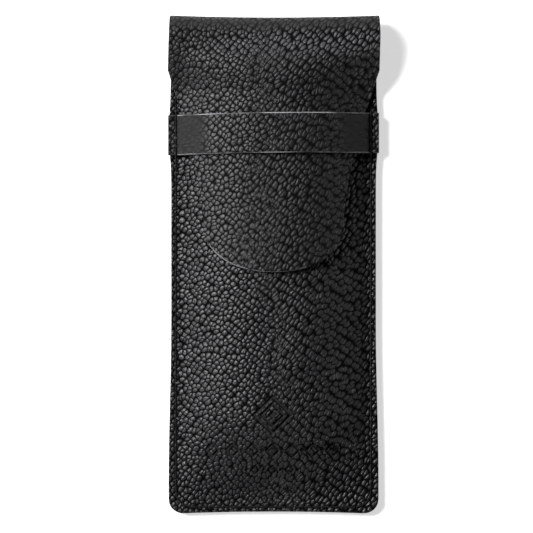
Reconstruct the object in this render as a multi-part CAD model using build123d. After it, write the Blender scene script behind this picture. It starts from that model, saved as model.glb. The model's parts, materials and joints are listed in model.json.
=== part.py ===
from build123d import *
import math
import os

# A soft leather case for fountain pens, lying on its back: a flat back panel runs round
# a fold at the +Y end and comes back over the domed pouch as a flap, whose tongue is
# held down by a band sewn across the front. One seam joins the panels on three sides.

# ---- driving dimensions, millimetres ----
# the hide
case_length = 170.0
case_width = 71.0
leather = 1.4
corner_radius = 5.0
fold_thickness = 11.0
fold_extra_width = 1.2
fold_flare = 4.0

# the pouch
mouth_from_fold = 19.0
dome_height = 11.0
flange_width = 3.5
dome_fullness = 2.4
dome_foot = 1.25
dome_end_margin = 4.5
dome_run_out = 32.0
dome_run_out_power = 1.5

# the flap, measured from the fold; its tongue's sides stand in from the case's edges
flap_reach = 87.5
tongue_shoulder = 18.5
tongue_inset_at_band = 4.8
tongue_inset_low = 11.0
tongue_end_length = 19.0
tongue_end_power = 2.2
flap_gap = 0.3

# the band across the front
band_from_fold = 40.4
band_width = 13.7
band_leather = 1.3
band_gap = 0.3
band_side_gap = 0.9
band_riser = 1.3

# the fold's creases, where the bent leather gives as the flap opens
crease_gap = 0.2
crease_step = 60.0

# the seam
seam_inset = 2.2
seam_corner_radius = 5.0
stitch_spacing = 3.0
thread_radius = 0.25
hole_radius = 0.4
groove_half_width = 0.55
front_groove_depth = 0.3
back_groove_depth = 0.6
thread_gap = 0.05

# ---- places worked out from them ----
fold_y = case_length / 2
foot_y = -case_length / 2
edge_x = case_width / 2
mouth_y = fold_y - mouth_from_fold
band_y = fold_y - band_from_fold
tip_y = fold_y - flap_reach
bend_y = fold_y - fold_thickness / 2
bend_z = fold_thickness / 2
flange_top = 2 * leather
dome_x = edge_x - flange_width
tongue_x_at_band = edge_x - tongue_inset_at_band
tongue_x_low = edge_x - tongue_inset_low
dome_end_y = foot_y + dome_end_margin
run_out_y = dome_end_y + dome_run_out
hide_x = edge_x + fold_extra_width / 2
seam_x = edge_x - seam_inset
seam_y = foot_y + seam_inset


# ---- shapes shared by the pieces ----
def smooth(share):
    """Ease from 0 to 1 with level ends."""
    share = min(max(share, 0.0), 1.0)
    return share * share * (3 - 2 * share)


def dome(x):
    """How high the pouch stands over its flange at x, as a share of the crown."""
    reach = min(abs(x) / dome_x, 1.0)
    return (1 - reach**dome_fullness) ** dome_foot


def across(half_width, count=24):
    """Places across the case, closer together towards both sides."""
    return [-half_width * math.cos(math.pi * i / count) for i in range(count + 1)]


def skin_section(y, half_width, height_at, thickness):
    """The cut face of a skin at y, whose underside is at height_at(x)."""
    under = [Vector(x, y, height_at(x)) for x in across(half_width)]
    over = [point + Vector(0, 0, thickness) for point in under]
    edges = [
        Spline(*under),
        Line(under[-1], over[-1]),
        Spline(*reversed(over)),
        Line(over[0], under[0]),
    ]
    return Face(Wire(edges))


def along(section, y_end, y_start):
    """A section carried straight along the case from y_start to y_end."""
    return extrude(section, y_end - y_start, dir=(0, 1, 0))


def bend_piece(start_angle, end_angle, half_width):
    """A stretch of the folded leather between two angles, 0 being the fold's outer line."""
    outer = fold_thickness / 2
    inner = outer - leather
    lines = []
    for radius, first, last in ((outer, start_angle, end_angle), (inner, end_angle, start_angle)):
        middle = (first + last) / 2
        spots = []
        for angle in (first, middle, last):
            turn = math.radians(angle)
            spot_y = bend_y + radius * math.cos(turn)
            spot_z = bend_z + radius * math.sin(turn)
            spots.append(Vector(-half_width, spot_y, spot_z))
        lines.append(ThreePointArc(*spots))
    lines.append(Line(lines[0] @ 1, lines[1] @ 0))
    lines.append(Line(lines[1] @ 1, lines[0] @ 0))
    return extrude(Face(Wire(lines)), 2 * half_width, dir=(1, 0, 0))


def plate(outline, bottom, top):
    """A flat sheet of the given outline."""
    return extrude(Pos(0, 0, bottom) * outline, top - bottom, dir=(0, 0, 1))


# ---- outlines seen from above ----
def panel_outline(top_y):
    """A panel with round bottom corners, its straight edge at top_y."""
    r = corner_radius
    turn = r * (1 - math.sqrt(0.5))
    corners = [
        Line((-edge_x, top_y), (-edge_x, foot_y + r)),
        ThreePointArc((-edge_x, foot_y + r), (-edge_x + turn, foot_y + turn), (-edge_x + r, foot_y)),
        Line((-edge_x + r, foot_y), (edge_x - r, foot_y)),
        ThreePointArc((edge_x - r, foot_y), (edge_x - turn, foot_y + turn), (edge_x, foot_y + r)),
        Line((edge_x, foot_y + r), (edge_x, top_y)),
        Line((edge_x, top_y), (-edge_x, top_y)),
    ]
    return Face(Wire(corners))


def flare_outline():
    """Where the hide widens a little above the seam, on its way to the fold."""
    flare_y = mouth_y + fold_flare
    return Face(
        Wire.make_polygon(
            [
                (-edge_x, mouth_y),
                (edge_x, mouth_y),
                (hide_x, flare_y),
                (hide_x, bend_y),
                (-hide_x, bend_y),
                (-hide_x, flare_y),
            ]
        )
    )


def tongue_outline():
    """The flap: full width at the fold, narrowing to a tongue with a blunt round end."""
    shoulder_y = fold_y - tongue_shoulder
    end_y = tip_y + tongue_end_length
    side = Spline(
        (hide_x, shoulder_y),
        (tongue_x_at_band, band_y + band_width / 2),
        (tongue_x_low, end_y),
        tangents=[(-0.15, -1), (-0.05, -1)],
    )
    steps = [math.pi / 2 * i / 8 for i in range(9)]
    power = 2 / tongue_end_power
    rim = []
    for t in steps[:-1]:
        rim.append((tongue_x_low * math.cos(t) ** power, end_y - tongue_end_length * math.sin(t) ** power))
    rim.append((0.0, tip_y))
    end = Spline(*rim, tangents=[(-0.05, -1), (-1, 0)])
    right = [Line((0, bend_y), (hide_x, bend_y)), Line((hide_x, bend_y), (hide_x, shoulder_y)), side, end]
    left = [edge.mirror(Plane.YZ) for edge in right]
    return Face(Wire(right + left))


def groove_outline():
    """The sunken line that the stitches lie in, round both sides and the bottom."""
    rings = []
    for grow in (groove_half_width, -groove_half_width):
        width = 2 * (seam_x + grow)
        length = mouth_y - seam_y + grow
        centre_y = mouth_y - length / 2
        corner = seam_corner_radius + grow
        ring = RectangleRounded(width, length + 2 * corner, corner)
        rings.append(Pos(0, centre_y + corner) * ring)
    ring = rings[0] - rings[1]
    return ring & (Pos(0, (mouth_y + foot_y) / 2) * Rectangle(2 * edge_x, mouth_y - foot_y))


# ---- the seam's needle holes ----
seam_corner_x = -seam_x + seam_corner_radius
seam_corner_y = seam_y + seam_corner_radius
seam_side = band_y - seam_corner_y
seam_bend = seam_corner_radius * math.pi / 2


def seam_place(distance):
    """The point on the left half of the seam at a distance below the band's middle."""
    if distance <= seam_side:
        return Vector(-seam_x, band_y - distance)
    if distance <= seam_side + seam_bend:
        turn = (distance - seam_side) / seam_corner_radius
        inward = seam_corner_radius * math.cos(turn)
        down = seam_corner_radius * math.sin(turn)
        return Vector(seam_corner_x - inward, seam_corner_y - down)
    return Vector(seam_corner_x + distance - seam_side - seam_bend, seam_y)


half_seam = seam_side + seam_bend - seam_corner_x
pitch = half_seam / round(half_seam / stitch_spacing)
holes_above_band = int((mouth_y - band_y - hole_radius - thread_gap) / pitch + 0.5)
holes_below_band = round(half_seam / pitch)
hole_distances = [(i + 0.5) * pitch for i in range(-holes_above_band, holes_below_band)]
left_holes = [seam_place(distance) for distance in hole_distances]
holes = left_holes + [Vector(-hole.X, hole.Y) for hole in reversed(left_holes)]
needle_reach = flange_top + band_leather + 1
needle = Cylinder(hole_radius, needle_reach, align=(Align.CENTER, Align.CENTER, Align.MIN))
needle_tools = [Pos(hole.X, hole.Y, -0.5) * needle for hole in holes]


# ---- back panel: the flat back and the first turn of the fold ----
crease_turn = math.degrees(crease_gap / 2 / (fold_thickness / 2))
back_panel = plate(panel_outline(mouth_y), 0, leather) + plate(flare_outline(), 0, leather)
back_panel += bend_piece(-90, -crease_step - crease_turn, hide_x)
back_panel -= plate(groove_outline(), 0, back_groove_depth)
back_panel -= needle_tools

# ---- front panel: a flat flange round three sides and the domed pouch ----
window = Pos(0, (mouth_y + dome_end_y) / 2) * Rectangle(2 * dome_x, mouth_y - dome_end_y)
flange = plate(panel_outline(mouth_y) - window, leather, flange_top)
flange -= plate(groove_outline(), flange_top - front_groove_depth, flange_top)
flange -= needle_tools
straight_dome = skin_section(run_out_y, dome_x, lambda x: leather + dome_height * dome(x), leather)
front_panel = flange + along(straight_dome, mouth_y, run_out_y)

def run_out_under(share):
    """The dome's underside, share going from 0 at the bottom seam to 1 at full height."""
    crown = dome_height * math.sin(math.pi / 2 * share) ** dome_run_out_power
    return lambda x: leather + crown * dome(x)


run_out_steps = [i / 6 for i in range(7)]
run_out = [
    skin_section(dome_end_y + share * dome_run_out, dome_x, run_out_under(share), leather)
    for share in run_out_steps
]
front_panel += loft(run_out)

# ---- the fold's two strips ----
fold_lower_strip = bend_piece(-crease_step + crease_turn, -crease_turn, hide_x)
fold_upper_strip = bend_piece(crease_turn, crease_step - crease_turn, hide_x)


# ---- flap: the last turn of the fold, then leather that settles onto the dome ----
def flap_under(share):
    """The flap's underside, share going from 0 at the fold to 1 over the pouch."""
    flat = fold_thickness - leather
    settled = smooth(share)
    return lambda x: (1 - settled) * flat + settled * (flange_top + flap_gap + dome_height * dome(x))


settle_steps = [i / 5 for i in range(6)]
settling = [
    skin_section(bend_y + share * (mouth_y - bend_y), hide_x, flap_under(share), leather)
    for share in settle_steps
]
flap_skin = loft(settling) + along(skin_section(tip_y, hide_x, flap_under(1), leather), mouth_y, tip_y)
flap = flap_skin & plate(tongue_outline(), 0, 2 * fold_thickness + dome_height)
flap += bend_piece(crease_step + crease_turn, 90, hide_x)

# ---- retaining band: over the tongue, down to the flange and out to the side seams ----
over_tongue = flange_top + flap_gap + leather + band_gap
riser_in = tongue_x_at_band + band_side_gap
riser_out = riser_in + band_riser
band_start_y = band_y - band_width / 2


def band_edge(lift):
    """One face of the band seen along the case, lift above its underside."""
    arch = [Vector(x, band_start_y, over_tongue + dome_height * dome(x) + lift) for x in across(riser_in)]
    feet = [
        Vector(-edge_x, band_start_y, flange_top + lift),
        Vector(-riser_out, band_start_y, flange_top + lift),
        Vector(riser_out, band_start_y, flange_top + lift),
        Vector(edge_x, band_start_y, flange_top + lift),
    ]
    return [
        Line(feet[0], feet[1]),
        Line(feet[1], arch[0]),
        Spline(*arch),
        Line(arch[-1], feet[2]),
        Line(feet[2], feet[3]),
    ]


band_under = band_edge(0)
band_over = band_edge(band_leather)
band_ends = [Line(band_under[0] @ 0, band_over[0] @ 0), Line(band_under[-1] @ 1, band_over[-1] @ 1)]
band_section = Face(Wire(band_under + band_over + band_ends))
retaining_band = along(band_section, band_start_y + band_width, band_start_y)
retaining_band -= needle_tools


# ---- seam thread: one bar and one leg for each stitch, on each side of the leather ----
def thread_bar(start, end, height):
    """A straight stretch of thread between two holes, with round ends."""
    run = end - start
    bar = Cylinder(thread_radius, run.length, align=(Align.CENTER, Align.CENTER, Align.MIN))
    bar += Sphere(thread_radius)
    return Plane((start.X, start.Y, height), z_dir=run) * bar


def thread_leg(hole, bottom, top):
    """The thread going down through a needle hole."""
    leg = Cylinder(thread_radius, top - bottom, align=(Align.CENTER, Align.CENTER, Align.MIN))
    return Pos(hole.X, hole.Y, bottom) * leg


def on_band(hole):
    """Whether a hole's front stitch lies on the band rather than on the flange."""
    return abs(hole.Y - band_y) < band_width / 2


flange_thread_z = flange_top - front_groove_depth + thread_radius + thread_gap
band_thread_z = flange_top + band_leather + thread_radius
back_thread_z = back_groove_depth - thread_radius - thread_gap
knot_z = (flange_thread_z + back_thread_z) / 2
thread = {}
for start, end in zip(holes, holes[1:]):
    run = (end - start).normalized()
    stop = end if end is holes[-1] else end - run * (2 * thread_radius + thread_gap)
    middle = (start + end) / 2
    if middle.Y < seam_corner_y:
        side = "bottom"
    else:
        side = "left" if middle.X < 0 else "right"
    raised = on_band(start) or on_band(end)
    front_z = band_thread_z if raised else flange_thread_z
    if raised and not on_band(end):
        bar_top = thread_bar(start, end, front_z)
        front = bar_top + Pos(end.X, end.Y, front_z) * Sphere(thread_radius)
        front += thread_leg(end, flange_thread_z + thread_radius + thread_gap, front_z)
    else:
        front = thread_bar(start, stop, front_z)
    back = thread_bar(start, stop, back_thread_z)
    filled = [start, end] if end is holes[-1] else [start]
    for hole in filled:
        front += thread_leg(hole, knot_z + thread_gap / 2, front_z)
        back += thread_leg(hole, back_thread_z, knot_z - thread_gap / 2)
    thread.setdefault(f"front_thread_{side}", []).append(front)
    thread.setdefault(f"back_thread_{side}", []).append(back)

# ---- one file for each node ----
nodes = {
    "back_panel": back_panel,
    "front_panel": front_panel,
    "retaining_band": retaining_band,
    "fold_lower_strip": fold_lower_strip,
    "fold_upper_strip": fold_upper_strip,
    "flap": flap,
}
for name, stitches in thread.items():
    nodes[name] = Compound([solid for stitch in stitches for solid in stitch.solids()])
os.makedirs("parts", exist_ok=True)
for name, shape in nodes.items():
    export_step(shape, f"parts/{name}.step")
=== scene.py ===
import json
import math

import bpy
import numpy as np
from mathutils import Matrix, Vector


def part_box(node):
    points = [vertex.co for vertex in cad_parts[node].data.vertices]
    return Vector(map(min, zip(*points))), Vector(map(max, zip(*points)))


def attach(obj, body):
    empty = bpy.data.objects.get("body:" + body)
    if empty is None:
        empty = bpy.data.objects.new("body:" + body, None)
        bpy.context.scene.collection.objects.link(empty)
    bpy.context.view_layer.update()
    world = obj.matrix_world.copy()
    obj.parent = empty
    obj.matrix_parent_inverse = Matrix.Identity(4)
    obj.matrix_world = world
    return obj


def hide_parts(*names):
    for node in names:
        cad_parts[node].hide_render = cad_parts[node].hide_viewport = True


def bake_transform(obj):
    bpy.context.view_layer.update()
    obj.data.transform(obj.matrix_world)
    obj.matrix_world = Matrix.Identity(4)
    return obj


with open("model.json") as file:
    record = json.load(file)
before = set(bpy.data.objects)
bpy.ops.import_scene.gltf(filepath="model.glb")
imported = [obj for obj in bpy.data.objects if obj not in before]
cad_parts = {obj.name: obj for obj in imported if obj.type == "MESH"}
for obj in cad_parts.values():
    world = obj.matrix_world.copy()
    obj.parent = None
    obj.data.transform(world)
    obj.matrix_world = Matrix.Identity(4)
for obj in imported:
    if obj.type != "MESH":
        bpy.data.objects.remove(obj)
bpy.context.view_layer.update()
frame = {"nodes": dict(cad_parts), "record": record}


# ---- Table, light and camera ----
# The case lies on a plain pale card. One large soft lamp at the upper left models the
# grain, a weak sky fills the shadows, and the camera looks straight down on the front.
class Shade:
    """A socket in a material, so that shader maths reads as ordinary sums."""

    def __init__(self, tree, socket=None):
        self.tree = tree
        self.socket = socket

    def node(self, kind, settings, sockets, out):
        """Make a node: its settings come first, then its sockets, as values or as links."""
        made = self.tree.nodes.new(kind)
        for name, value in settings.items():
            setattr(made, name, value)
        for name, value in sockets.items():
            if isinstance(value, Shade):
                self.tree.links.new(value.socket, made.inputs[name])
            else:
                made.inputs[name].default_value = value
        return Shade(self.tree, made.outputs[out])

    def sums(self, operation, first, second):
        return self.node("ShaderNodeMath", {"operation": operation}, {0: first, 1: second}, 0)

    def __add__(self, other):
        return self.sums("ADD", self, other)

    def __radd__(self, other):
        return self.sums("ADD", other, self)

    def __sub__(self, other):
        return self.sums("SUBTRACT", self, other)

    def __rsub__(self, other):
        return self.sums("SUBTRACT", other, self)

    def __mul__(self, other):
        return self.sums("MULTIPLY", self, other)

    def __rmul__(self, other):
        return self.sums("MULTIPLY", other, self)

    def __truediv__(self, other):
        return self.sums("DIVIDE", self, other)

    def __pow__(self, other):
        return self.sums("POWER", self, other)

    def at_most(self, other):
        return self.sums("MINIMUM", self, other)

    def at_least(self, other):
        return self.sums("MAXIMUM", self, other)

    def eased(self, value, low, high, start=0.0, end=1.0):
        """A soft step from start to end as the value goes from low to high."""
        sockets = {"Value": value, "From Min": low, "From Max": high, "To Min": start, "To Max": end}
        return self.node("ShaderNodeMapRange", {"interpolation_type": "SMOOTHSTEP"}, sockets, "Result")

    def noise(self, place, size, detail=2.0, out="Fac"):
        """Soft noise whose lumps are about size metres across."""
        sockets = {"Vector": place, "Scale": 1 / size, "Detail": detail}
        return self.node("ShaderNodeTexNoise", {}, sockets, out)

    def vectors(self, operation, sockets):
        return self.node("ShaderNodeVectorMath", {"operation": operation}, sockets, 0)

    def mapped(self, place, **sockets):
        return self.node("ShaderNodeMapping", {}, {"Vector": place, **sockets}, "Vector")

    def blend(self, share, first, second):
        return self.node("ShaderNodeMix", {"data_type": "RGBA"}, {"Factor": share, 6: first, 7: second}, 2)

    def bump(self, height, depth):
        """The normal of a surface whose height runs from 0 to 1 over depth metres."""
        sockets = {"Height": height, "Strength": 1.0, "Distance": depth}
        return self.node("ShaderNodeBump", {}, sockets, "Normal")


def new_finish(name):
    """An empty material, its Shade and its shader node."""
    finish = bpy.data.materials.new(name)
    finish.use_nodes = True
    return finish, Shade(finish.node_tree), finish.node_tree.nodes["Principled BSDF"]


def fill(node, **sockets):
    """Set or link a node's sockets, an underscore standing for a space in a socket's name."""
    for name, value in sockets.items():
        socket = node.inputs[name.replace("_", " ")]
        if isinstance(value, Shade):
            value.tree.links.new(value.socket, socket)
        else:
            socket.default_value = value


card_width = 12.0
card_drop = 0.0002
card_glow = 0.62
bpy.ops.object.select_all(action="DESELECT")
bpy.ops.mesh.primitive_plane_add(size=card_width, location=(0, 0, -card_drop))
card = bpy.context.object
card.name = "table_card"
paper, shade, shader = new_finish("pale card")
fill(shader, Base_Color=(0.9, 0.9, 0.9, 1), Roughness=0.9, Specular_IOR_Level=0.0)
fill(shader, Emission_Color=(1, 1, 1, 1), Emission_Strength=card_glow)
fill(shader, Alpha=1 - shade.node("ShaderNodeNewGeometry", {}, {}, "Backfacing"))
card.data.materials.append(paper)

lamp_place = (-1.22, 0.64, 1.18)
bpy.ops.object.light_add(type="AREA", location=lamp_place)
lamp = bpy.context.object
lamp.name = "window_lamp"
lamp.data.shape = "RECTANGLE"
lamp.data.size = 0.80
lamp.data.size_y = 0.60
lamp.data.energy = 64.0
toward = -np.array(lamp_place)
toward /= np.linalg.norm(toward)
lamp.rotation_euler = (math.acos(-toward[2]), 0, math.atan2(toward[1], toward[0]) - math.pi / 2)

sky = bpy.data.worlds.new("studio")
bpy.context.scene.world = sky
sky.use_nodes = True
air = Shade(sky.node_tree)
direction = air.node("ShaderNodeTexCoord", {}, {}, "Generated")
height = air.node("ShaderNodeSeparateXYZ", {}, {0: direction}, "Z")
from_above = air.eased(height, 0.15, 0.55, start=0.15, end=0.02)
from_below = height * -0.9
fill(sky.node_tree.nodes["Background"], Color=(1, 1, 1, 1), Strength=from_below.at_least(from_above))
bpy.context.scene.view_settings.view_transform = "Standard"

lens = 200.0
film = 36.0
view_width = 0.1812
view_centre = (-0.0024, -0.0006, 0.008)
camera_height = view_centre[2] + view_width * lens / film
bpy.ops.object.camera_add(location=(view_centre[0], view_centre[1], camera_height), rotation=(0, 0, 0))
camera = bpy.context.object
camera.data.lens = lens
camera.data.sensor_width = film
bpy.context.scene.camera = camera

# ---- Hide: back panel, fold and flap ----
# One piece of full-grain hide, pebbled and dyed black, brushed on its flesh side and cut with
# raw edges. It runs up the back, round the fold and down over the front, where it ends in
# the tongue. It is made here in three lengths.
front_low, front_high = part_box("front_panel")
band_low, band_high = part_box("retaining_band")
crease = frame["record"]["behaviour"]["joints"][1]["pos_m"]
cad_wall = front_low.z
sheet_wall = 0.0012
flange_top = 2 * cad_wall
pouch_rise = front_high.z - flange_top
fold_radius = crease[2]
fold_length = math.pi * fold_radius
crease_run = fold_length / 3
bend_y = crease[1] - fold_radius
mouth_y = front_high.y
foot_y = front_low.y
band_y = (band_low.y + band_high.y) / 2
tip_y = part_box("flap")[0].y
hide_half_width = 0.0361
panel_corner = 0.005
edge_roll = 0.0004
tongue_half_width = 0.0239
tongue_shoulder_y = 0.014
thread_low, thread_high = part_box("front_thread_right")
seam_x = (thread_low.x + thread_high.x) / 2
seam_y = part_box("front_thread_bottom")[0].y + 0.00025
seam_corner = 0.005
stitch_pitch = 0.00299


def ease(share):
    share = np.clip(share, 0, 1)
    return share * share * (3 - 2 * share)


def swell(distance, reach):
    """A soft hump, 1 at no distance and nearly 0 past twice the reach."""
    return np.exp(-((distance / reach) ** 2))


def dome(x):
    """The share of the pouch's height across the case."""
    reach = np.minimum(np.abs(x) / (front_high.x - 0.0035), 1)
    return (1 - reach**2.4) ** 1.25


def unevenness(x, y):
    """Slow waves in soft leather, a fraction of a millimetre high."""
    waves = 0.10 * np.sin(x * 150 + y * 82 + 1.3)
    waves += 0.08 * np.sin(x * -95 + y * 165 + 0.4)
    waves += 0.06 * np.sin(x * 260 - y * 120 + 2.1)
    return waves * 0.001


def panel_half_width(y):
    """Half the case's width: a little narrow at the waist, fuller at the foot and beside the band."""
    foot = 0.0009 * ease((-0.020 - y) / 0.055)
    beside_band = 0.0009 * swell(y - band_y, 0.0085)
    return 0.0350 + foot + beside_band + 0.0002 * ease((y - 0.03) / 0.03)


def foot_edge(x):
    """Where the panels end at the foot: round corners and a slightly hollow edge."""
    inner = panel_half_width(np.array(foot_y)) - panel_corner
    past = np.clip(np.abs(x) - inner, 0, panel_corner)
    hollow = 0.0006 * (1 - np.minimum(np.abs(x) / inner, 1) ** 2)
    return foot_y + panel_corner - np.sqrt(panel_corner**2 - past**2) + hollow


def tongue_edge(x):
    """Where the tongue ends: a blunt, round outline."""
    reach = np.minimum(np.abs(x) / tongue_half_width, 1)
    return tongue_shoulder_y - (tongue_shoulder_y - tip_y) * (1 - reach**2.2) ** (1 / 2.2)


def seam_groove(x, y):
    """How deep the stitches pull the leather in, along their line round three sides."""
    past_x = np.abs(x) - (seam_x - seam_corner)
    past_y = (seam_y + seam_corner) - y
    outside = np.hypot(np.maximum(past_x, 0), np.maximum(past_y, 0))
    inside = np.minimum(np.maximum(past_x, past_y), 0)
    distance = np.abs(outside + inside - seam_corner)
    along = np.where(y > seam_y + seam_corner, y, x)
    tight = 0.75 + 0.25 * np.cos(2 * math.pi * along / stitch_pitch)
    return 0.00034 * tight * swell(distance, 0.00055) * (y < mouth_y + 0.001)


def pebbles(shade, place, long, wide, turn):
    """The height of a field of pebbles, long by wide metres, lying at a turn to the case's width."""
    turned = shade.mapped(place, Rotation=(0, 0, -turn))
    squeezed = shade.mapped(turned, Scale=(1 / long, 1 / wide, 1))
    sockets = {"Vector": squeezed, "Scale": 1.0, "Randomness": 0.70}
    settings = {"voronoi_dimensions": "2D", "feature": "DISTANCE_TO_EDGE"}
    from_crease = shade.node("ShaderNodeTexVoronoi", settings, sockets, "Distance")
    settings = {"voronoi_dimensions": "2D", "feature": "F1"}
    from_middle = shade.node("ShaderNodeTexVoronoi", settings, sockets, "Distance")
    rise = (from_crease / 0.20).at_most(1.0)
    crown = 1 - (from_middle / 0.80).at_most(1.0) ** 2.0
    return (1 - (1 - rise) ** 2.0) * 0.35 + crown * 0.65


def pebbled_leather():
    """The grain side: painted shade makes the creases nearly black and dull, the pebble tops are lighter
    and smoother, and rubbed tops carry a painted sheen.
    """
    finish, shade, shader = new_finish("pebbled black leather")
    flat = shade.node("ShaderNodeUVMap", {"uv_map": "grain"}, {}, "UV")
    across = shade.node("ShaderNodeSeparateXYZ", {}, {0: flat}, "X")
    pulled = shade.node("ShaderNodeAttribute", {"attribute_name": "pulled"}, {}, "Fac")
    handled = shade.node("ShaderNodeAttribute", {"attribute_name": "handled"}, {}, "Fac")
    patch = shade.noise(flat, 0.016, 1.0)

    drift = shade.vectors("SUBTRACT", {0: shade.noise(flat, 0.004, 1.0, "Color"), 1: (0.5, 0.5, 0.5)})
    place = shade.vectors("ADD", {0: flat, 1: shade.vectors("SCALE", {0: drift, "Scale": 0.0014})})
    round_grain = pebbles(shade, place, 0.00182, 0.00150, math.radians(50))
    long_grain = pebbles(shade, place, 0.00255, 0.00142, math.radians(54))
    lean = shade.eased(across + (patch - 0.5) * 0.030, -0.010, 0.012)
    grain = round_grain * (1 - lean) + long_grain * lean

    fine = shade.noise(flat, 0.00035, 2.0)
    lumps = shade.noise(flat, 0.0050, 1.0)
    streaks = shade.noise(shade.mapped(flat, Scale=(0.22, 1, 1)), 0.0007, 2.0)
    deeper = 1 + shade.eased(across, 0.002, 0.022) * 0.55
    relief = grain * (deeper + handled * 0.40) * (1 - pulled * 0.85)
    relief = relief + (fine - 0.5) * 0.25 + lumps * 0.7 + streaks * pulled * 0.8

    # Painted shade in the creases: the colour runs from nearly black in the creases to lighter on the
    # pebble tops, and pulled leather takes an even share.
    tops = shade.eased(grain, 0.50, 1.0)
    light = (tops * (1 - pulled) + pulled * 0.20).at_most(1.0)
    tint = shade.blend(light, (0.0002, 0.0002, 0.0003, 1), (0.0200, 0.0200, 0.0220, 1))
    # A painted sheen: rubbed pebble tops near the fold are coloured lighter.
    painted_sheen_on_tops = shade.eased(grain, 0.62, 0.98) * handled * 0.8
    tint = shade.blend(painted_sheen_on_tops, tint, (0.075, 0.075, 0.080, 1))
    polish = tops * (0.54 + handled * 0.10) * (1 - pulled * 0.8)
    fill(shader, Base_Color=tint, Normal=shade.bump(relief, 0.00066), Specular_IOR_Level=0.43)
    fill(shader, Roughness=0.85 - polish + (patch - 0.5) * 0.08)

    # Painted shade: a dark, dull shader is mixed into the creases, over a wider share where the grain runs
    # deeper towards the right.
    painted_crease_shade = shade.node("ShaderNodeBsdfDiffuse", {}, {"Color": (0.0008, 0.0008, 0.0009, 1)}, "BSDF")
    clear_of_crease_shade = shade.eased(grain / (deeper * 0.35 + 0.65), 0.38, 0.86)
    crease_shade_share = (1 - clear_of_crease_shade) * (1 - pulled) * 0.87
    unshaded_leather = Shade(shade.tree, shader.outputs["BSDF"])
    mixed = shade.node("ShaderNodeMixShader", {}, {"Fac": crease_shade_share, 1: unshaded_leather, 2: painted_crease_shade}, "Shader")
    fill(finish.node_tree.nodes["Material Output"], Surface=mixed)
    return finish


def raw_leather(name, dark, light, fibre, rough, depth, patches=0.0):
    """Fibres of cut or brushed leather. Patches is how unevenly the light ones show."""
    finish, shade, shader = new_finish(name)
    place = shade.node("ShaderNodeTexCoord", {}, {}, "Object")
    fibres = shade.noise(place, fibre, 4.0)
    clumps = shade.noise(place, fibre * 9, 2.0)
    patch = shade.noise(place, 0.012, 1.0)
    share = shade.eased(fibres * 0.7 + clumps * 0.3 + (patch - 0.5) * patches, 0.35, 0.65)
    fill(shader, Base_Color=shade.blend(share, dark, light), Normal=shade.bump(fibres, depth))
    fill(shader, Roughness=rough + (fibres - 0.5) * 0.1, Specular_IOR_Level=0.25)
    return finish


grain_face = pebbled_leather()
flesh_side = raw_leather(
    "brushed flesh side", (0.018, 0.017, 0.017, 1), (0.045, 0.043, 0.042, 1), 0.0005, 0.92, 0.0001
)
dark_edge = raw_leather(
    "dyed cut edge", (0.010, 0.010, 0.011, 1), (0.050, 0.050, 0.052, 1), 0.00025, 0.7, 0.00008
)
# A pale cut edge for the tongue's end, used only where the lamp lights the end, as a painted highlight.
highlit_cut_edge = raw_leather(
    "worn cut edge", (0.05, 0.05, 0.053, 1), (0.24, 0.24, 0.25, 1), 0.00030, 0.8, 0.00008
)


def lay_grid(name, columns, rows):
    """A flat grid to be shaped: the piece, and each vertex's place across and along, from -1 to 1."""
    bpy.ops.object.select_all(action="DESELECT")
    bpy.ops.mesh.primitive_grid_add(x_subdivisions=columns, y_subdivisions=rows, size=2, calc_uvs=False)
    piece = bpy.context.object
    piece.name = name
    piece.data.name = name
    flat = places_of(piece)
    return piece, flat[:, 0].copy(), flat[:, 1].copy()


def places_of(piece):
    places = np.empty(len(piece.data.vertices) * 3)
    piece.data.vertices.foreach_get("co", places)
    return places.reshape(-1, 3)


def crowd(share, amount):
    """Move places from -1 to 1 closer together towards both ends."""
    return (1 - amount) * share + amount * np.sin(share * math.pi / 2)


def make_leather(piece, points, flat, edge_distance, wall, edge, pulled=0.0, handled=0.0, show=0.0):
    """Turn a shaped grid into a sheet of leather, grain side outside, with a rolled cut edge.

    Flat is where each point lies on the flat hide, and show is how wide the raw edge is seen from
    the grain side. Pulled leather is stretched smooth, and rubbed leather has smoother pebbles with a
    painted sheen on their tops.
    """
    mesh = piece.data
    mesh.vertices.foreach_set("co", points.ravel())
    corner_vertex = np.empty(len(mesh.loops), int)
    mesh.loops.foreach_get("vertex_index", corner_vertex)
    mesh.uv_layers.new(name="grain").data.foreach_set("uv", flat[corner_vertex].ravel())
    for name, share in (("pulled", pulled), ("handled", handled)):
        layer = mesh.attributes.new(name, "FLOAT", "POINT")
        layer.data.foreach_set("value", np.zeros(len(points)) + share)
    mesh.update()
    normals = np.empty(len(points) * 3)
    mesh.vertex_normals.foreach_get("vector", normals)
    for finish in (grain_face, flesh_side, edge):
        mesh.materials.append(finish)
    thickness = piece.modifiers.new("thickness", "SOLIDIFY")
    thickness.thickness = wall
    thickness.offset = -1
    thickness.material_offset = 1
    thickness.material_offset_rim = 2
    bpy.context.view_layer.objects.active = piece
    bpy.ops.object.modifier_apply(modifier="thickness")
    places = places_of(piece)
    away = np.clip(1 - edge_distance / edge_roll, 0, 1)
    drop = edge_roll * (1 - np.sqrt(1 - away**2))
    places[: len(points)] -= normals.reshape(-1, 3) * drop[:, None]
    mesh.vertices.foreach_set("co", places.ravel())
    near_edge = edge_distance < show
    for face in mesh.polygons:
        if face.material_index == 0 and all(v < len(points) and near_edge[v] for v in face.vertices):
            face.material_index = 2
    mesh.update()
    bpy.ops.object.shade_smooth_by_angle(angle=math.radians(50))
    return piece


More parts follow.
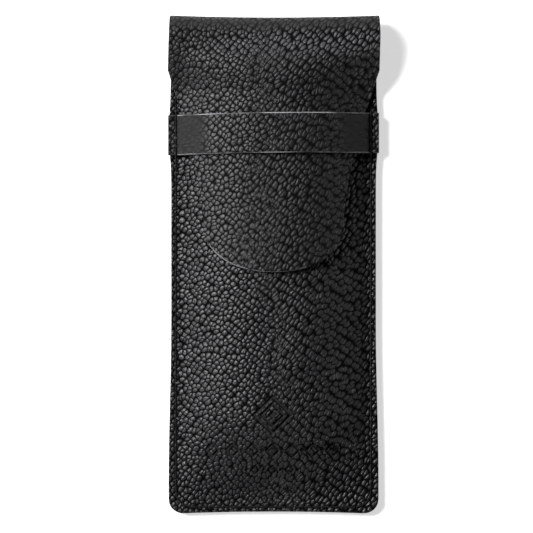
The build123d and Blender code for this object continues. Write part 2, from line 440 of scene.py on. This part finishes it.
def hide_place(x, run, fold_sag=0.0007, fold_shift=0.00035):
    """A place on the hide's grain side, run metres along it from where the fold begins."""
    angle = np.clip(run / fold_radius, 0, math.pi)
    y = bend_y + fold_radius * np.sin(angle) + np.minimum(run, 0) - np.maximum(run - fold_length, 0)
    bent_z = fold_radius * (1 - np.cos(angle))
    past_fold = np.clip((bend_y - y) / 0.022, 0, 1) * (run > fold_length)
    settled = ease(past_fold)
    over_pouch = flange_top + cad_wall + 0.0003 + pouch_rise * dome(x)
    z = bent_z * (1 - settled) + over_pouch * settled + unevenness(x, y) * settled
    fullness = 0.0022 + 0.0012 * ease((x - 0.002) / 0.026)
    shoulder = 1 - np.minimum(np.abs(x) / 0.037, 1) ** np.where(x > 0, 10, 4)
    z = z + fullness * np.sin(math.pi * past_fold) ** 2 * shoulder
    near_fold = ease((y - 0.060) / 0.020)
    y = y - fold_sag * (1 - (x / hide_half_width) ** 2) * near_fold
    return np.stack([x + fold_shift * near_fold, y, z], axis=1)


def hide_width(run):
    """Half the hide's width along its run: panel, flare to the fold, and the narrowing tongue."""
    back_y = bend_y + run
    front_y = bend_y - (run - fold_length)
    flare = ease((back_y - mouth_y) / 0.004)
    back = panel_half_width(back_y) * (1 - flare) + hide_half_width * flare
    narrowing = np.clip((front_y - tongue_shoulder_y) / 0.052, 0, 1)
    tongue = tongue_half_width + 0.0123 * narrowing**1.5
    at_fold = 0.0005 * swell(run - fold_length / 2, 0.012)
    return np.where(run < fold_length / 2, back, tongue) - at_fold


def hide_length(name, start, end, columns, rows, first_edge=None, last_edge=None):
    """One length of the hide. Its first or last edge may follow an outline, given as a run for each x."""
    piece, across, along = lay_grid(name, columns, rows)
    across = crowd(across, 0.75)
    share = (along + 1) / 2
    if first_edge:
        share = 1 - np.sin((1 - share) * math.pi / 2) * 0.5 - (1 - share) * 0.5
    if last_edge:
        share = np.sin(share * math.pi / 2) * 0.4 + share * 0.6
    run = start + (end - start) * share
    for _ in range(3):
        x = -across * hide_width(run)
        first = first_edge(x) if first_edge else start
        last = last_edge(x) if last_edge else end
        run = first + (last - first) * share
    points = hide_place(x, run)
    edge_distance = np.maximum(hide_width(run) - np.abs(x), 0)
    if first_edge:
        edge_distance = np.minimum(edge_distance, run - first)
        points[:, 2] += seam_groove(x, points[:, 1]) * 1.6 * (run < 0)
    if last_edge:
        edge_distance = np.minimum(edge_distance, last - run)
    flat = np.stack([x + 0.006, -run], axis=1)
    pulled = np.maximum(swell(run - fold_length * 0.80, 0.0034) * 0.75, 0.22)
    # Near the fold the pebbles are rubbed: smoother, and given a painted sheen on their tops.
    handled = swell(run - fold_length - 0.0042, 0.0042) * ease((x + 0.024) / 0.012)
    return make_leather(piece, points, flat, edge_distance, sheet_wall, dark_edge, pulled, handled)


def fold_point(run):
    place = hide_place(np.array([0.0]), np.array([run]), fold_sag=0.0, fold_shift=0.0)[0]
    return tuple(float(v) for v in place)


back = hide_length(
    "hide_back", foot_y - bend_y, crease_run, 120, 230, first_edge=lambda x: foot_edge(x) - bend_y
)
middle = hide_length("hide_fold", crease_run, crease_run * 2, 120, 14)
flap = hide_length(
    "hide_flap", crease_run * 2, 0, 130, 210, last_edge=lambda x: fold_length + bend_y - tongue_edge(x)
)
flap.data.materials.append(highlit_cut_edge)
# The end of the tongue takes the pale edge only on its left and middle, where the lamp lights it: a
# painted highlight on the cut edge.
for face in flap.data.polygons:
    x, y = face.center.x, face.center.y
    at_end = y < tongue_edge(x) + 0.00030 + 0.0006 * (x / tongue_half_width) ** 2
    if at_end and -0.0215 < x < 0.011 and face.material_index != 1:
        face.material_index = 3

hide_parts("back_panel")
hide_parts("fold_lower_strip", "fold_upper_strip")
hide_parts("flap")
fold_point(0)
fold_point(crease_run)
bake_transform(back)
fold_point(crease_run)
fold_point(crease_run * 2)
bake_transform(middle)
fold_point(crease_run * 2)
fold_point(fold_length)
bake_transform(flap)
crease_run + bend_y - foot_y

# ---- Front panel ----
# A second piece of the same leather, wet-moulded into a dome over the pens and sewn to
# the back round three sides. A small ornament is pressed blind into its foot.
piece, across, along = lay_grid("front_panel_leather", 110, 200)
across = crowd(across, 0.70)
share = 1 - (along + 1) / 2
share = 0.5 * share + 0.5 * np.sin(share * math.pi / 2)
y = mouth_y + (foot_y - mouth_y) * share
for _ in range(3):
    x = across * panel_half_width(y)
    y = mouth_y + (foot_edge(x) - mouth_y) * share
run_out = np.sin(math.pi / 2 * np.clip((y - (foot_y + 0.0045)) / 0.032, 0, 1)) ** 1.5
z = flange_top + (pouch_rise + unevenness(x, y) * 2) * run_out * dome(x) - seam_groove(x, y)
front = make_leather(
    piece,
    np.stack([x, y, z], axis=1),
    flat=np.stack([x, y], axis=1),
    edge_distance=np.minimum(panel_half_width(y) - np.abs(x), y - foot_edge(x)),
    wall=sheet_wall,
    edge=dark_edge,
)

stamp_depth = 0.00055
stamp_x = -0.0004
emblem_y = -0.0508
long_row_y = -0.0630
short_row_y = -0.0697


def pressed(distance, half_width):
    """1 inside a pressed line and 0 outside, with soft shoulders."""
    return 1 - ease((distance - half_width + 0.00016) / 0.00032)


def lozenge(x, y, reach):
    """The distance from a square lozenge's outline."""
    return np.abs(np.abs(x) + np.abs(y) - reach) / math.sqrt(2)


def stamped_row(x, y, spacing, each_side, reach, line, dot):
    """A row of lozenges with a dot between each two, counted out from the middle."""
    depth = 0
    for count in range(-each_side, each_side + 1):
        from_middle = x - count * spacing
        if count % 2 == 0:
            shape = pressed(lozenge(from_middle, y, reach), line)
        else:
            shape = pressed(np.hypot(from_middle, y), dot)
        depth = np.maximum(depth, shape)
    return depth


def ornament(x, y):
    """How deep each place is pressed: a framed lozenge over two rows of lozenges and dots."""
    x = x - stamp_x
    depth = pressed(lozenge(x, y - emblem_y, 0.0062), 0.00046)
    depth = np.maximum(depth, pressed(lozenge(x, y - emblem_y, 0.0038), 0.00038))
    depth = np.maximum(depth, pressed(np.abs(x) + np.abs(y - emblem_y), 0.0015))
    depth = np.maximum(depth, stamped_row(x, y - long_row_y, 0.0034, 6, 0.0022, 0.00038, 0.0008))
    return np.maximum(depth, stamped_row(x, y - short_row_y, 0.0029, 3, 0.0014, 0.00030, 0.00055))


def near_ornament(x, y):
    """Whether a place is close enough to the ornament to need a finer mesh."""
    from_middle = abs(x - stamp_x)
    emblem = from_middle + abs(y - emblem_y) < 0.0075
    long_row = from_middle < 0.0232 and abs(y - long_row_y) < 0.0028
    short_row = from_middle < 0.0104 and abs(y - short_row_y) < 0.0020
    return emblem or long_row or short_row


mesh = front.data
mesh.vertices.foreach_set("select", np.zeros(len(mesh.vertices), bool))
mesh.edges.foreach_set("select", np.zeros(len(mesh.edges), bool))
for face in mesh.polygons:
    face.select = face.material_index == 0 and near_ornament(face.center.x, face.center.y)
    if face.select:
        for number in face.vertices:
            mesh.vertices[number].select = True
bpy.ops.object.mode_set(mode="EDIT")
bpy.ops.mesh.select_mode(type="FACE")
bpy.ops.mesh.subdivide(number_cuts=6)
bpy.ops.object.mode_set(mode="OBJECT")
places = places_of(front)
on_grain_side = np.zeros(len(places), bool)
for face in front.data.polygons:
    if face.material_index == 0:
        on_grain_side[list(face.vertices)] = True
stamped = ornament(places[:, 0], places[:, 1]) * on_grain_side
places[:, 2] -= stamp_depth * stamped
front.data.vertices.foreach_set("co", places.ravel())
front.data.attributes["pulled"].data.foreach_set("value", stamped * 0.95)
front.data.update()
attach(front, "case")
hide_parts("front_panel")
flap_flat = (2 * hide_half_width, crease_run + bend_y - tip_y)

# ---- Retaining band ----
# A strip of thinner leather sewn into both side seams. It is stretched over the tongue,
# so its grain is pulled smooth near its ends, and its long edges are left raw.
band_wall = 0.0011
band_half_length = 0.0360
band_width = band_high.y - band_low.y
pale_edge = raw_leather(
    "raw cut edge", (0.05, 0.05, 0.053, 1), (0.32, 0.32, 0.33, 1), 0.00025, 0.8, 0.00008, patches=1.3
)
piece, across, along = lay_grid("band_leather", 200, 44)
x = across * band_half_length
from_middle = crowd(along, 0.8) * band_width / 2
y = band_y + from_middle + 0.0004 * x / front_high.x
raised = ease((seam_x - np.abs(x)) / 0.0020)
foot_z = flange_top + 0.0013
z = foot_z + (band_high.z - pouch_rise - foot_z) * raised + pouch_rise * dome(x) - seam_groove(x, y) * 0.6
pulled = ease((np.abs(x) - 0.019) / 0.007) * ease((seam_x - np.abs(x)) / 0.001)
band = make_leather(
    piece,
    np.stack([x, y, z], axis=1),
    flat=np.stack([x, y], axis=1),
    edge_distance=band_width / 2 - np.abs(from_middle),
    wall=band_wall,
    edge=pale_edge,
    pulled=np.maximum(pulled, 0.24),
    show=0.00035,
)
band.data.materials.append(dark_edge)
for face in band.data.polygons:
    if face.material_index == 2 and abs(face.center.x) > seam_x - 0.0005:
        face.material_index = 3
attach(band, "case")
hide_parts("retaining_band")

# ---- Seam thread ----
# Waxed black thread, sewn through both panels round three sides, one stitch about every
# three millimetres. It is drawn tight into a shallow groove in the leather.
waxed, shade, shader = new_finish("waxed black thread")
strands = shade.noise(shade.node("ShaderNodeTexCoord", {}, {}, "Object"), 0.0002, 2.0)
tint = shade.blend(strands, (0.002, 0.002, 0.002, 1), (0.010, 0.010, 0.011, 1))
fill(shader, Base_Color=tint, Normal=shade.bump(strands, 0.00008))
fill(shader, Roughness=0.75 + strands * 0.2, Specular_IOR_Level=0.2)
for node in frame["nodes"]:
    if "thread" in node:
        stitches = bpy.data.objects[node]
        stitches.data.materials.clear()
        stitches.data.materials.append(waxed)
